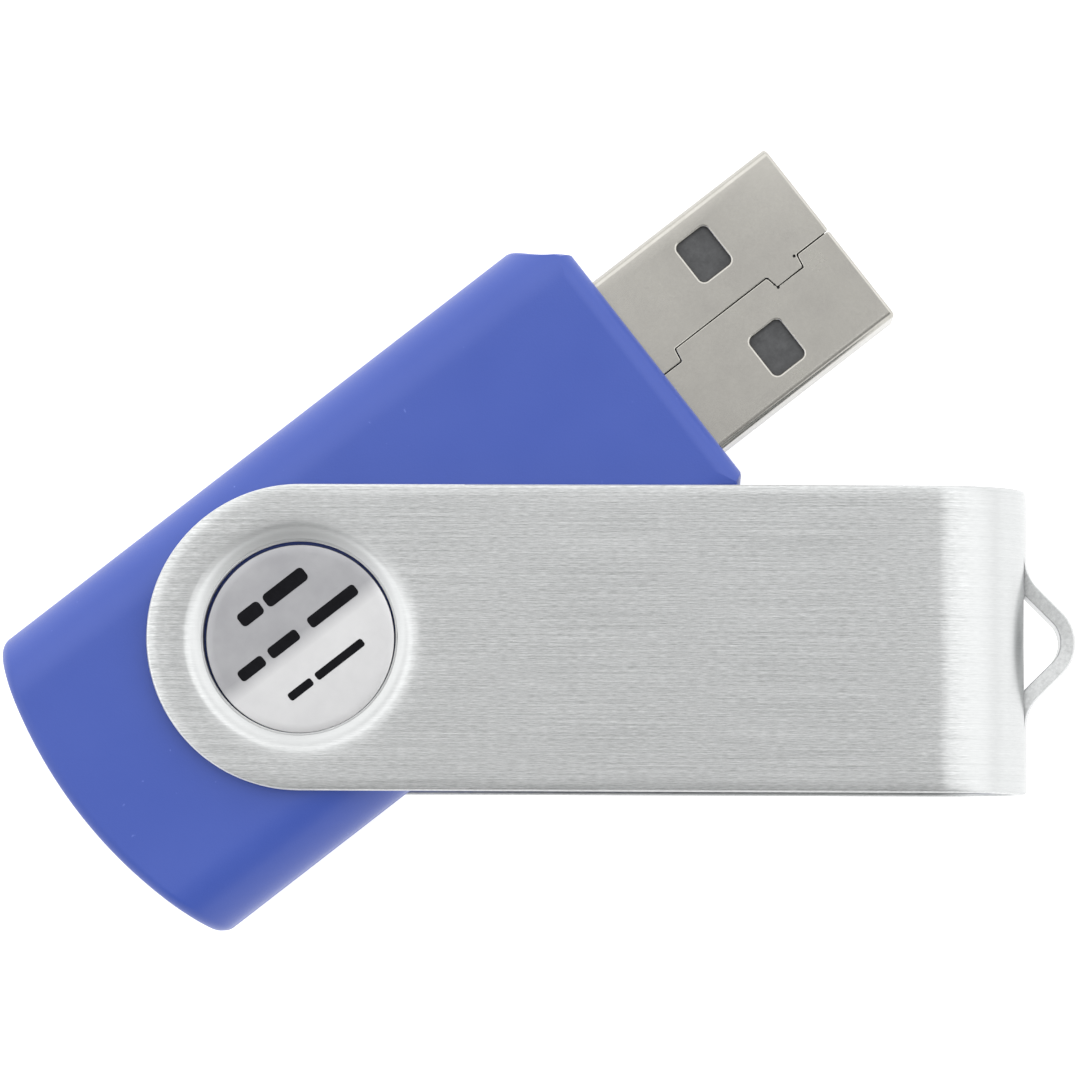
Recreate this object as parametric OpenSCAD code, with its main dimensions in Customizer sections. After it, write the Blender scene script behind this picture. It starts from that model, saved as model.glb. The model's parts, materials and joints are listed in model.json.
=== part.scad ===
// Swivel USB flash drive: a two-part plastic housing with a type A plug, a circuit board inside,
// and a folded metal cover that turns about the housing.
// Origin: centre of the plug where it leaves the housing's front face.
// +X points out of the plug's mouth, +Z is up, through the face with the plug's seam. Millimetres.

/* [Plug] */
// Width of the plug's steel shell
plug_w = 12; // [11.9:0.1:12.1]
// Height of the plug's steel shell
plug_h = 4.5; // [4.4:0.1:4.6]
// How far the plug stands out of the housing
plug_reach = 12.4; // [11.8:0.1:12.8]
// Thickness of the shell's folded sheet
shell_t = 0.3; // [0.26:0.02:0.34]

/* [Housing] */
// Width of the housing
housing_w = 20.6; // [20.2:0.1:21.6]
// Thickness of the housing, both halves together
housing_t = 8.6; // [8.4:0.1:9.4]
// Distance from the housing's front face back to the swivel axis
pivot_back = 25.2; // [24.8:0.1:26]
// How far the tail reaches behind the swivel axis
tail_reach = 15.8; // [15.6:0.1:17]
// Radius of the tail, seen from above
tail_r = 26.9; // [24:0.1:32]
// Radius that rounds the long edges
side_round = 3.4; // [2.8:0.1:3.6]
// Wall thickness
wall = 1.2; // [1:0.1:1.3]

/* [Cover] */
// Thickness of the cover's sheet
sheet_t = 0.8; // [0.6:0.1:0.9]
// Width of the cover
cover_w = 17.1; // [16.6:0.1:18]
// Distance from the swivel axis to the outside of the bend
cover_reach = 40.8; // [40.4:0.1:41.8]
// Distance from the swivel axis to the tip of the keyring loop
loop_reach = 43.55; // [43.4:0.05:45.4]
// Angle between the plug and the cover, which is 0 when the plug is covered
open_angle = 38; // [0:1:180]

/* [Board] */
// Thickness of the circuit board
board_t = 1; // [0.8:0.1:1]
// Width of the circuit board
board_w = 15.8; // [15:0.1:16]

/* [Hidden] */
$fn = 64;
// How far cutting shapes reach past what they cut
over = 1;

// Colours
housing_blue = [0.29, 0.38, 0.72];
brushed_metal = [0.75, 0.76, 0.75];
plug_steel = [0.73, 0.72, 0.69];
label_metal = [0.8, 0.8, 0.82];
gold = [0.86, 0.7, 0.35];
tin = [0.78, 0.79, 0.8];
chip_black = [0.09, 0.09, 0.1];
board_green = [0.05, 0.3, 0.16];

// Heights in the swivel's stack, up from the middle plane of the drive
half_t = housing_t / 2;
leaf_gap = 0.1;
leaf_in = half_t + leaf_gap;
leaf_out = leaf_in + sheet_t;
dimple_depth = 0.45;
rim_in = leaf_in - dimple_depth;
groove_gap = 0.15;
groove_floor = rim_in - groove_gap;
web_t = 1.05;
web_in = groove_floor - web_t;
boss_top = rim_in + 0.25 * sheet_t;
adhesive_t = 0.1;
disc_t = 0.35;

// Radii of the swivel, outwards from its axis
adhesive_r = 5.1;
disc_r = 5.27;
boss_r = 5.2;
groove_r = 6.6;
groove_mouth_r = 7.2;
web_r = 7.8;
// How far the glued discs lie off the swivel axis
disc_shift = [-0.03, -0.095];

// The dimple round the cover's hole: radius, and share of the dimple's depth reached there
dimple_profile = [
    [7.6, 0], [7.3, 0.01], [7, 0.04], [6.7, 0.09], [6.4, 0.16], [6.25, 0.22], [6.1, 0.37],
    [5.95, 0.59], [5.8, 0.76], [5.65, 0.87], [5.5, 0.95], [5.38, 1]
];

// Housing outline
front_round = 1.2;
tail_round = 0.6;
tail_x = tail_r - tail_reach - pivot_back;
scoop_cut = 2.4;
scoop_depth = 0.25;
scoop_chord = scoop_cut * sqrt(2);
scoop_r = scoop_chord * scoop_chord / (8 * scoop_depth) + scoop_depth / 2;
side_wall = 1.4;
cavity_h = housing_t - 2 * wall;
cavity_w = housing_w - 2 * side_wall;
cavity_round = 1.6;

// Alignment pins between the halves: x, y and the radii of pin, socket and boss
pin_places = [[-3, 7.6], [-3, -7.6], [-37.4, 5], [-37.4, -5]];
pin_r = 0.7;
socket_r = 0.76;
pin_boss_r = 1.4;
pin_reach = 1.4;
socket_depth = 1.6;

// Rib that holds the plug down: place of its back and its size
rib_x = -5;
rib_l = 1;
rib_w = 11;

// Board rests, along the housing
rest_places = [-13, -32.5];
rest_l = 1.5;
rest_top = 2.8;
rest_grip = 0.7;
rest_in = board_w / 2 - rest_grip;
rest_gap = 0.02;

// How far ribs, rests and bosses reach into the walls that carry them
rib_sink = 0.1;

// Plug
plug_fit = 0.03;
plug_back = 6.4;
plug_corner = 0.45;
window_l = 2.13;
window_w = 2.64;
window_corner = 0.35;
window_back = 6.4;
window_x = plug_reach - window_back;
window_y = 3.36;
seam_w = 0.04;
seam_low = -0.68;
seam_high = 0.1;
// Where the seam jogs sideways, back from the plug's tip
seam_jogs = [2.35, 4.35, 11.05, 13.1];
jog = [for (back = seam_jogs) plug_reach - back];
seam_path = [
    [plug_reach + over, seam_high], [jog[0], seam_high], [jog[0], seam_low], [jog[1], seam_low],
    [jog[1], seam_high], [jog[2], seam_high], [jog[2], seam_low], [jog[3], seam_low],
    [jog[3], seam_high], [-plug_back - over, seam_high]
];
leg_end = -9.6;
leg_h = 1.8;

// Insulator and contacts
insulator_fit = 0.02;
insulator_w = plug_w - 2 * (shell_t + insulator_fit);
insulator_top = plug_h / 2 - shell_t - insulator_fit;
tongue_low = 0.05;
tongue_tip = plug_reach - 0.3;
base_front = 0.6;
contact_w = 1;
contact_low = -0.05;
contact_high = 0.25;
contact_fit = 0.02;
contact_slot_w = contact_w + 2 * contact_fit;
inner_contact_y = 1;
outer_contact_y = 3.5;
inner_contact_tip = plug_reach - 2.3;
outer_contact_tip = plug_reach - 1.3;
contact_t = 0.28;
crank_start = -plug_back - 0.2;
crank_end = -plug_back - 1.1;
crank_lag = 0.1;
tail_end = -9.4;
tail_high = -board_t / 2 - contact_fit;
tail_low = tail_high - contact_t;
tail_solder = [0.7, 1.3, 0.28];

// Where the shell's legs are soldered to the board
leg_solder_base = 0.9;
leg_solder_top = 0.5;
leg_slot_gap = 0.2;

// Board and its parts: places along the board's middle line
board_front = -7.7;
board_back = -35.8;
board_corner = 1.5;
memory_x = -24.6;
memory_l = 18.4;
memory_w = 12;
memory_t = 1;
controller_x = -15.5;
controller_side = 7;
controller_t = 1.4;
lead_pitch = 0.5;
lead_w = 0.22;
lead_t = 0.13;
lead_reach = 0.8;
lead_foot = 0.5;
lead_shoulder = 0.2;
standoff = 0.05;
crystal_place = [-25, -3.6];
crystal_size = [5, 3.2, 1.1];
crystal_step = 0.6;
capacitor_places = [[-10.6, 6.2], [-12.6, 6.2], [-21.6, 5.4], [-24, 3.4], [-28.5, 1.2], [-21.6, -6]];
resistor_places = [[-10.6, -6.2], [-12.6, -6.2], [-23.6, 6.2], [-30.5, -4.2], [-30.5, 4]];
capacitor_size = [0.8, 1.6, 0.8];
resistor_size = [0.8, 1.6, 0.45];

// Cover
bend_r = leaf_out;
bend_x = cover_reach - bend_r;
loop_h = 2.6;
loop_in_r = 1.6;
loop_out_r = loop_in_r + sheet_t;
flare_r = 2.4;
loop_x = loop_reach - loop_out_r;
flare_x = cover_reach + flare_r;
flare_y = loop_x + (loop_out_r + flare_r) * sqrt(2) - flare_x;
slot_gap = 0.1;
root_overlap = 0.2;

// Points of an arc about c, from angle a to angle b
function arc(c, r, a, b, steps = 12) =
    [for (i = [0:steps]) let (t = a + (b - a) * i / steps) c + r * [cos(t), sin(t)]];

// A rectangle with round corners, centred
module rounded_rect(size, r) {
    square([size.x - 2 * r, size.y], center = true);
    square([size.x, size.y - 2 * r], center = true);
    for (x = [-1, 1], y = [-1, 1])
        translate([x * (size.x / 2 - r), y * (size.y / 2 - r)]) circle(r);
}

// Extrudes a section, drawn as seen along +X with Y to the left of it, from x = a to x = b
module along_x(a, b) {
    translate([a, 0, 0]) rotate([90, 0, 90]) linear_extrude(b - a) children();
}

// ---- Housing ----

// The closed outer form of both halves
module housing_block() {
    length = pivot_back + tail_reach + over;
    difference() {
        intersection() {
            along_x(-length, 0) rounded_rect([housing_w, housing_t], side_round);
            rotate([90, 0, 0]) linear_extrude(2 * housing_w, center = true)
                translate([-length, 0]) rounded_rect([2 * length, housing_t], front_round);
            translate([tail_x, 0, 0]) rotate_extrude() tail_section();
        }
        for (side = [-1, 1])
            translate([-scoop_cut / 2, side * (housing_w / 2 - scoop_cut / 2), 0])
                rotate([0, 0, side * 45]) translate([scoop_r - scoop_depth, 0, 0])
                    cylinder(r = scoop_r, h = 2 * housing_t, center = true);
    }
}

// Half section of the disc whose rim forms the tail
module tail_section() {
    translate([0, -half_t]) square([tail_r - tail_round, housing_t]);
    translate([0, tail_round - half_t]) square([tail_r, housing_t - 2 * tail_round]);
    for (z = [-1, 1])
        translate([tail_r - tail_round, z * (half_t - tail_round)]) circle(tail_round);
}

// The room inside both halves, cut off at the front corners to leave a wall behind the scoops
module housing_cavity() {
    back = -pivot_back - tail_reach;
    intersection() {
        along_x(back, -wall) rounded_rect([cavity_w, cavity_h], cavity_round);
        translate([tail_x, 0, 0]) cylinder(r = tail_r - wall, h = housing_t, center = true);
        linear_extrude(housing_t, center = true) polygon([
            [-wall, -cavity_w / 2 + scoop_cut], [-wall, cavity_w / 2 - scoop_cut],
            [-wall - scoop_cut, cavity_w / 2], [back, cavity_w / 2],
            [back, -cavity_w / 2], [-wall - scoop_cut, -cavity_w / 2]
        ]);
    }
}

// What is cut round the swivel axis: the groove that the dimple turns in, and the top of the boss
module pivot_groove() {
    rotate_extrude() polygon([
        [boss_r, groove_floor], [groove_r, groove_floor], [groove_mouth_r, half_t],
        [groove_mouth_r, half_t + over], [0, half_t + over], [0, boss_top], [boss_r, boss_top]
    ]);
}

// What stands inside the upper half: ribs on the plug, board rests, pin bosses and the web at the groove
module inner_ribs() {
    top = cavity_h / 2 + rib_sink;
    plug_side = plug_h / 2 + plug_fit;
    rest_low = board_t / 2 + rest_gap;
    rest_out = cavity_w / 2 + rib_sink;
    translate([rib_x, -rib_w / 2, plug_side]) cube([rib_l, rib_w, top - plug_side]);
    for (x = rest_places, side = [0, 1]) mirror([0, side, 0])
        translate([x - rest_l / 2, rest_in, rest_low])
            cube([rest_l, rest_out - rest_in, rest_top - rest_low]);
    for (p = pin_places) translate([p.x, p.y, 0]) cylinder(r = pin_boss_r, h = top);
    translate([-pivot_back, 0, web_in]) cylinder(r = web_r, h = top - web_in);
}

// Everything below the middle plane
module lower_side() {
    length = 2 * (pivot_back + tail_reach);
    translate([-length / 2, 0, -housing_t / 2]) cube([2 * length, 2 * housing_w, housing_t], center = true);
}

// The upper half with its pins left off
module housing_half() {
    difference() {
        union() {
            difference() {
                housing_block();
                housing_cavity();
            }
            inner_ribs();
        }
        translate([-pivot_back, 0, 0]) pivot_groove();
        along_x(-wall - over, over)
            rounded_rect([plug_w + 2 * plug_fit, plug_h + 2 * plug_fit], plug_corner);
        lower_side();
    }
}

module top_housing() {
    color(housing_blue) {
        housing_half();
        for (p = pin_places)
            translate([p.x, p.y, -pin_reach]) cylinder(r = pin_r, h = pin_reach + over);
    }
}

module bottom_housing() {
    color(housing_blue) difference() {
        mirror([0, 0, 1]) housing_half();
        for (p = pin_places)
            translate([p.x, p.y, -socket_depth]) cylinder(r = socket_r, h = socket_depth + over);
    }
}

// ---- Discs on the housing's two round bosses ----

module disc_adhesive() {
    color("white") translate([disc_shift.x - pivot_back, disc_shift.y, boss_top])
        cylinder(r = adhesive_r, h = adhesive_t);
}

module disc() {
    color(label_metal) translate([disc_shift.x - pivot_back, disc_shift.y, boss_top + adhesive_t])
        cylinder(r = disc_r, h = disc_t);
}

// ---- Plug ----

// A slit that follows the points of a path
module slit(path, width) {
    for (i = [0:len(path) - 2])
        let (d = path[i + 1] - path[i])
            translate(path[i]) rotate(atan2(d.y, d.x)) translate([-width / 2, -width / 2])
                square([norm(d) + width, width]);
}

module plug_shell() {
    color(plug_steel) difference() {
        union() {
            along_x(-plug_back, plug_reach) rounded_rect([plug_w, plug_h], plug_corner);
            for (side = [-1, 1])
                translate([leg_end, side * (plug_w - shell_t) / 2 - shell_t / 2, -leg_h / 2])
                    cube([-plug_back - leg_end + over, shell_t, leg_h]);
        }
        along_x(leg_end - over, plug_reach + over)
            rounded_rect([plug_w - 2 * shell_t, plug_h - 2 * shell_t], plug_corner - shell_t);
        for (side = [-1, 1]) translate([window_x, side * window_y, 0])
            linear_extrude(2 * plug_h, center = true)
                rounded_rect([window_l, window_w], window_corner);
        linear_extrude(plug_h) slit(seam_path, seam_w);
    }
}

// Side view of a contact, from its tip to the end of its soldered tail
module contact_side(tip, grow = 0) {
    polygon([
        [tip + grow, contact_high + grow], [tip + grow, contact_low - grow],
        [crank_start, contact_low - grow], [crank_end, tail_low], [tail_end, tail_low],
        [tail_end, tail_high], [crank_end + crank_lag, tail_high],
        [crank_start + crank_lag, contact_high + grow]
    ]);
}

module contact_bar(y, tip, width, grow = 0) {
    translate([0, y, 0]) rotate([90, 0, 0]) linear_extrude(width, center = true)
        contact_side(tip, grow);
}

module contact(y, tip) {
    color(gold) contact_bar(y, tip, contact_w);
}

module plug_insulator() {
    color(chip_black) difference() {
        union() {
            translate([-plug_back, -insulator_w / 2, tongue_low])
                cube([tongue_tip + plug_back, insulator_w, insulator_top - tongue_low]);
            translate([-plug_back, -insulator_w / 2, -insulator_top])
                cube([base_front + plug_back, insulator_w, 2 * insulator_top]);
        }
        for (side = [-1, 1]) {
            contact_bar(side * inner_contact_y, inner_contact_tip, contact_slot_w, contact_fit);
            contact_bar(side * outer_contact_y, outer_contact_tip, contact_slot_w, contact_fit);
        }
    }
}

// ---- Circuit board and what is soldered to it ----

module circuit_board() {
    slot_l = board_front - leg_end + leg_slot_gap + over;
    color(board_green) difference() {
        translate([0, 0, -board_t / 2]) linear_extrude(board_t) polygon([
            [board_front, -board_w / 2], [board_front, board_w / 2],
            [board_back + board_corner, board_w / 2], [board_back, board_w / 2 - board_corner],
            [board_back, board_corner - board_w / 2], [board_back + board_corner, -board_w / 2]
        ]);
        for (side = [-1, 1])
            translate([leg_end - leg_slot_gap, side * (plug_w - shell_t) / 2 - shell_t, -board_t])
                cube([slot_l, 2 * shell_t, 2 * board_t]);
    }
}

// One bent lead, leaving a chip's side at height out and standing on the board at height 0, along +X
module lead(out) {
    rotate([90, 0, 0]) linear_extrude(lead_w, center = true) polygon([
        [0, out], [lead_shoulder + lead_t, out], [lead_reach - lead_foot + lead_t, lead_t],
        [lead_reach, lead_t], [lead_reach, 0], [lead_reach - lead_foot, 0],
        [lead_shoulder, out - lead_t], [0, out - lead_t]
    ]);
}

// A row of leads, centred, on a side that faces +X
module lead_row(count, out) {
    for (i = [0:count - 1])
        translate([0, (i - (count - 1) / 2) * lead_pitch, 0]) lead(out);
}

module controller_chip() {
    color(chip_black) translate([controller_x, 0, board_t / 2 + standoff + controller_t / 2])
        cube([controller_side, controller_side, controller_t], center = true);
}

module controller_leads() {
    color(tin) translate([controller_x, 0, board_t / 2])
        for (turn = [0:90:270]) rotate([0, 0, turn])
            translate([controller_side / 2, 0, 0]) lead_row(12, standoff + controller_t / 2);
}

module memory_chip() {
    color(chip_black) translate([memory_x, 0, -board_t / 2 - standoff - memory_t / 2])
        cube([memory_l, memory_w, memory_t], center = true);
}

module memory_leads() {
    color(tin) translate([memory_x, 0, -board_t / 2]) mirror([0, 0, 1])
        for (turn = [0, 180]) rotate([0, 0, turn])
            translate([memory_l / 2, 0, 0]) lead_row(24, standoff + memory_t / 2);
}

// A block that stands on the board's upper face
module on_board(place, size) {
    translate([place.x - size.x / 2, place.y - size.y / 2, board_t / 2]) cube(size);
}

module crystal() {
    lid = [crystal_size.x - crystal_step, crystal_size.y - crystal_step, crystal_size.z];
    base = [crystal_size.x, crystal_size.y, crystal_size.z / 2];
    color(tin) {
        on_board(crystal_place, base);
        on_board(crystal_place, lid);
    }
}

module capacitors() {
    color("tan") for (p = capacitor_places) on_board(p, capacitor_size);
}

module resistors() {
    color(chip_black) for (p = resistor_places) on_board(p, resistor_size);
}

module solder_joints() {
    leg_y = (plug_w - shell_t) / 2;
    slot_w = shell_t + 2 * plug_fit;
    color(tin) {
        for (y = [-outer_contact_y, -inner_contact_y, inner_contact_y, outer_contact_y])
            translate([tail_end - tail_solder.x, y - tail_solder.y / 2, -board_t / 2 - tail_solder.z])
                cube(tail_solder);
        for (side = [-1, 1]) difference() {
            translate([leg_end + leg_solder_base, side * leg_y, board_t / 2])
                cylinder(r1 = leg_solder_base, r2 = leg_solder_top, h = (leg_h - board_t) / 2);
            translate([leg_end - over, side * leg_y - slot_w / 2, 0])
                cube([over + 2 * leg_solder_base, slot_w, leg_h]);
        }
    }
}

// ---- Cover, in its own frame: swivel axis at the origin, bend towards +X ----

// The dimple's points, from the leaf to the hole, on the side of the sheet at height z
function dimple_points(z) = [for (p = dimple_profile) [p[0], z - p[1] * dimple_depth]];

// Half section of the sheet around the hole, pressed in towards the housing
module dimple_section() {
    low = dimple_points(leaf_in);
    polygon(concat(dimple_points(leaf_out), [for (i = [len(low) - 1:-1:0]) low[i]]));
}

// The upper leaf, with its round end about the swivel axis
module leaf() {
    difference() {
        translate([0, 0, leaf_in]) linear_extrude(sheet_t) {
            circle(cover_w / 2);
            translate([0, -cover_w / 2]) square([bend_x, cover_w]);
        }
        cylinder(r = dimple_profile[0][0], h = 2 * leaf_out);
    }
    rotate_extrude() dimple_section();
}

// The half round bend that joins the leaves, with the slot that the loop's strip was cut from
module bend() {
    slot_y = flare_y - root_overlap;
    slot_z = loop_h / 2 + slot_gap;
    difference() {
        translate([bend_x, 0, 0]) rotate([90, 0, 0]) linear_extrude(cover_w, center = true)
            difference() {
                circle(bend_r);
                circle(bend_r - sheet_t);
                translate([-2 * bend_r, -2 * bend_r]) square([2 * bend_r, 4 * bend_r]);
            }
        translate([bend_x + bend_r / 2, -slot_y, -slot_z]) cube([bend_r, 2 * slot_y, 2 * slot_z]);
    }
}

// The strip pushed out of the bend to carry a keyring
module loop_strip() {
    apex = [loop_x, 0];
    left = [flare_x, flare_y];
    right = [flare_x, -flare_y];
    inner_flare = flare_r + sheet_t;
    outside = [arc(right, flare_r, 180, 135), arc(apex, loop_out_r, -45, 45), arc(left, flare_r, 225, 180)];
    inside = [
        arc(left, inner_flare, 180, 225), arc(apex, loop_in_r, 45, -45), arc(right, inner_flare, 135, 180)
    ];
    linear_extrude(loop_h, center = true) polygon([for (part = concat(outside, inside)) each part]);
}

module swivel_cover() {
    color(brushed_metal) translate([-pivot_back, 0, 0]) rotate([0, 0, -open_angle]) {
        leaf();
        mirror([0, 0, 1]) leaf();
        bend();
        loop_strip();
    }
}

top_housing();
bottom_housing();
swivel_cover();
disc();  // top_disc
mirror([0, 0, 1]) disc();  // bottom_disc
disc_adhesive();  // top_disc_adhesive
mirror([0, 0, 1]) disc_adhesive();  // bottom_disc_adhesive
plug_shell();
plug_insulator();
contact(-outer_contact_y, outer_contact_tip);  // contact_power
contact(-inner_contact_y, inner_contact_tip);  // contact_data_minus
contact(inner_contact_y, inner_contact_tip);  // contact_data_plus
contact(outer_contact_y, outer_contact_tip);  // contact_ground
circuit_board();
controller_chip();
controller_leads();
memory_chip();
memory_leads();
crystal();
capacitors();
resistors();
solder_joints();
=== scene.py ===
"""Looks of a swivel USB flash drive, built round its CAD model.

The shells that show are rebuilt here as finer meshes, with rounded edges and finished surfaces. What lies
inside stays as the CAD has it and gets procedural materials. Lengths are in metres.
"""
import json
import math

import bmesh
import bpy
from mathutils import Matrix, Vector


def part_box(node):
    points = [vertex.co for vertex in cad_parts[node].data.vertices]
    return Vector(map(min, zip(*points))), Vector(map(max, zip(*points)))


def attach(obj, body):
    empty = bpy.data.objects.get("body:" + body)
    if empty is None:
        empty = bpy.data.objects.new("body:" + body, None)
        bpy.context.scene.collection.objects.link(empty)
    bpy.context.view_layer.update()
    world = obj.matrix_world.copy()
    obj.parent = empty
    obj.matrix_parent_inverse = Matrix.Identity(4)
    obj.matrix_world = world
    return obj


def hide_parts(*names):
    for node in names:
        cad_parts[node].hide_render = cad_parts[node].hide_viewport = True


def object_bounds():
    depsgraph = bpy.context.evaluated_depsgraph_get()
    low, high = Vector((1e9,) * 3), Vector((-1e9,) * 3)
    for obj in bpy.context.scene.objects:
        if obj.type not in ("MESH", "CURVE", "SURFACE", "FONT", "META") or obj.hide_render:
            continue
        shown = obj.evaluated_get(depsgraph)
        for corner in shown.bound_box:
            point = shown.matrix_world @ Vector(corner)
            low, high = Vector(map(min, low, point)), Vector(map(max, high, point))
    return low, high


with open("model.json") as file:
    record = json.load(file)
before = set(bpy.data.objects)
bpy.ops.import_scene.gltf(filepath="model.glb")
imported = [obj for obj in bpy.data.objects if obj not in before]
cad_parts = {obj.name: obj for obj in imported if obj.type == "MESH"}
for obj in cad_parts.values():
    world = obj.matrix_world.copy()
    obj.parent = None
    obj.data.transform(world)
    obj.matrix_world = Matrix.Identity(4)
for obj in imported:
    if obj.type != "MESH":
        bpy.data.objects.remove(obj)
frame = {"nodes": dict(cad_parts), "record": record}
cad_low, cad_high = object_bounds()

MM = 0.001
TINY = 0.01 * MM
UP = Vector((0, 0, 1))

# ---- Places and sizes taken from the frame ----

record = frame["record"]
mounts = {mount["name"]: mount for mount in record["mounts"]}
hinge = record["behaviour"]["joints"][0]
pivot = Vector(hinge["pos_m"])
to_loop = Vector(mounts["keyring_loop"]["pos_m"]) - pivot
cover_angle = math.atan2(to_loop.y, to_loop.x)
cover_frame = Matrix.Translation(pivot) @ Matrix.Rotation(cover_angle, 4, "Z")

housing_low, housing_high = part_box("bottom_housing")
HALF_W = housing_high.y
HALF_T = -housing_low.z
TAIL_X = housing_low.x
FRONT_X = housing_high.x
plug_low, plug_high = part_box("plug_shell")
disc_low, disc_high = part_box("top_disc")
cover_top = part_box("swivel_cover")[1].z

# ---- Sizes of the housing ----

SIDE_ROUND = 3.4 * MM
FRONT_ROUND = 1.2 * MM
TAIL_ROUND = 0.6 * MM
CORNER_ROUND = 0.45 * MM
TAIL_R = 26.9 * MM
SCOOP = 2.4 * MM
SCOOP_DEPTH = 0.25 * MM
SCOOP_BLEND = 0.4 * MM
WALL = 1.2 * MM
SIDE_WALL = 1.4 * MM
CAVITY_ROUND = 1.6 * MM
PARTING = 0.07 * MM
PLUG_GAP = 0.03 * MM
PLUG_CORNER = 0.45 * MM

# ---- Sizes of the cover, along its own X from the swivel axis ----

SHEET = 0.8 * MM
LEAF_OUT = cover_top
LEAF_HALF_W = 8.55 * MM
COVER_REACH = 40.8 * MM
LOOP_REACH = 43.55 * MM
BEND_MID_R = LEAF_OUT - SHEET / 2
BEND_X = COVER_REACH - LEAF_OUT
LOOP_IN_R = 1.6 * MM
FLARE_R = 2.4 * MM
LOOP_HALF_H = 1.3 * MM
LOOP_PRESSED = 0.8
SLIT = 0.1 * MM
ROLL = 0.7 * MM
ROLL_STEPS = 4
ROLL_DEPTH = 0.05 * MM
RIM_EDGE = 0.15 * MM
LOOP_ROOT_SHARE = 0.25
LOOP_TIP_SHARE = 0.65

# The dimple round the hole: radius, and how far the sheet has dropped there, in millimetres
DIMPLE = [
    (5.38, 0.43), (5.5, 0.41), (5.65, 0.373), (5.8, 0.322), (5.95, 0.245), (6.1, 0.147),
    (6.25, 0.078), (6.4, 0.04), (6.7, 0.014), (7.0, 0.005), (7.3, 0.001), (7.6, 0),
]
HOLE_R = DIMPLE[0][0] * MM
SHOULDER_R = DIMPLE[-1][0] * MM
STEEP_R = 6.5 * MM
PRESSED_R = 6.9 * MM

# How much of the dimple's smoothness the bend has, and the length over which it comes on
BEND_SHARE = 0.85
BLEND = 2 * MM

# ---- Sizes of what is inside the housing, and of the swivel's groove ----

PIN_PLACES = [(x * MM, y * MM) for x, y in ((-3, 7.6), (-3, -7.6), (-37.4, 5), (-37.4, -5))]
PIN_BOSS_R = 1.4 * MM
PIN_R = 0.7 * MM
PIN_HEIGHTS = (-1.4 * MM, 1 * MM)
SOCKET_R = 0.76 * MM
SOCKET_HEIGHTS = (-1.6 * MM, 0.5 * MM)
PLUG_RIB_BACK = 5 * MM
PLUG_RIB_T = 1 * MM
PLUG_RIB_HALF_W = 5.5 * MM
REST_PLACES = (-13 * MM, -32.5 * MM)
REST_LAP = 0.7 * MM
REST_WALL_GAP = 1.1 * MM
REST_HALF_L = 0.75 * MM
REST_GAP = 0.02 * MM
REST_SHORT = 0.4 * MM
RIB_SINK = 0.1 * MM
WEB_R = 7.8 * MM
WEB_IN = 2.75 * MM
GROOVE_FLOOR = 3.8 * MM
GROOVE_R = 6.6 * MM
GROOVE_MOUTH_R = 7.2 * MM
GROOVE_CHAMFER = 0.1 * MM
GROOVE_FLARE = 0.05 * MM
BOSS_TOP = 4.15 * MM
BOSS_R = 5.2 * MM
BOSS_CHAMFER = 0.08 * MM

# ---- Sizes of the plug: places are distances back from its tip ----

SHELL = 0.3 * MM
LEG_LENGTH = 3.2 * MM
LEG_HALF_H = 0.9 * MM
WINDOW_BACK = 6.4 * MM
WINDOW_Y = 3.36 * MM
WINDOW_HALF_L = 1.065 * MM
WINDOW_HALF_W = 1.32 * MM
WINDOW_ROUND = 0.35 * MM
SEAM = 0.05 * MM
SEAM_HIGH = 0.1 * MM
SEAM_LOW = -0.68 * MM
SEAM_ZONE = 1.4 * MM
SEAM_JOGS = (2.35 * MM, 4.35 * MM, 11.05 * MM, 13.1 * MM)
JOG_LEAN = 0.1 * MM
RELIEFS = ((2.45 * MM, 0.13 * MM), (4.25 * MM, -0.72 * MM))
RELIEF_R = 0.09 * MM
PLUG_EDGE = 0.18 * MM
THROUGH = 4 * MM

# Shares of the plug's full rounding, which only its mouth has
OUTSIDE_SHARE = 0.8
INSIDE_SHARE = 0.3

# ---- Sizes of the discs and their print ----

DISC_EDGE = 0.05 * MM
PRINT_SINK = 0.06 * MM
PRINT_PROUD = 0.01 * MM
BAR_ROUND = 0.6

# Rows of bars: place across the disc, half height, and the ends of each bar, in millimetres
PRINT_ROWS = [
    (2.8, 0.42, [(-2.1, -0.6), (-0.3, 2.5)]),
    (0.33, 0.34, [(-4, -2.3), (-1.9, 0.1), (0.9, 4.2)]),
    (-2.27, 0.24, [(-2.5, -0.9), (-0.6, 2.7)]),
]

# ---- The studio, in the cover's frame ----

FLOOR_HALF = 1
FLOOR_T = 0.01
LENS_MM = 176.3
CAMERA_AWAY = 0.3
TOWARD_CAMERA = Vector((0.030, -0.072, 1))
PICTURE_RIGHT = Vector((1, 0.0025, 0))
PICTURE_CENTRE = Vector((13.28 * MM, 5.8 * MM, 0))

# Brightness of the walls and of the card, from the near side to the far side, and what is added or taken
WALL_LIGHT = (1.42, 1.8)
CARD_LIGHT = (0.37, 0.62)
NEAR_DIM = 0.4
END_DIM = 0.35
FAR_GAIN = 0.6
MIRROR_DIM = 0.38

# ---- Mesh helpers ----


def build(name, vertices, faces, place=None):
    """A mesh object from points and faces, with its normals turned outwards."""
    mesh = bpy.data.meshes.new(name)
    mesh.from_pydata([tuple(v) for v in vertices], [], faces)
    obj = bpy.data.objects.new(name, mesh)
    bpy.context.scene.collection.objects.link(obj)
    if place is not None:
        mesh.transform(place)
    bm = bmesh.new()
    bm.from_mesh(mesh)
    bmesh.ops.recalc_face_normals(bm, faces=bm.faces)
    bm.to_mesh(mesh)
    bm.free()
    return obj


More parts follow.
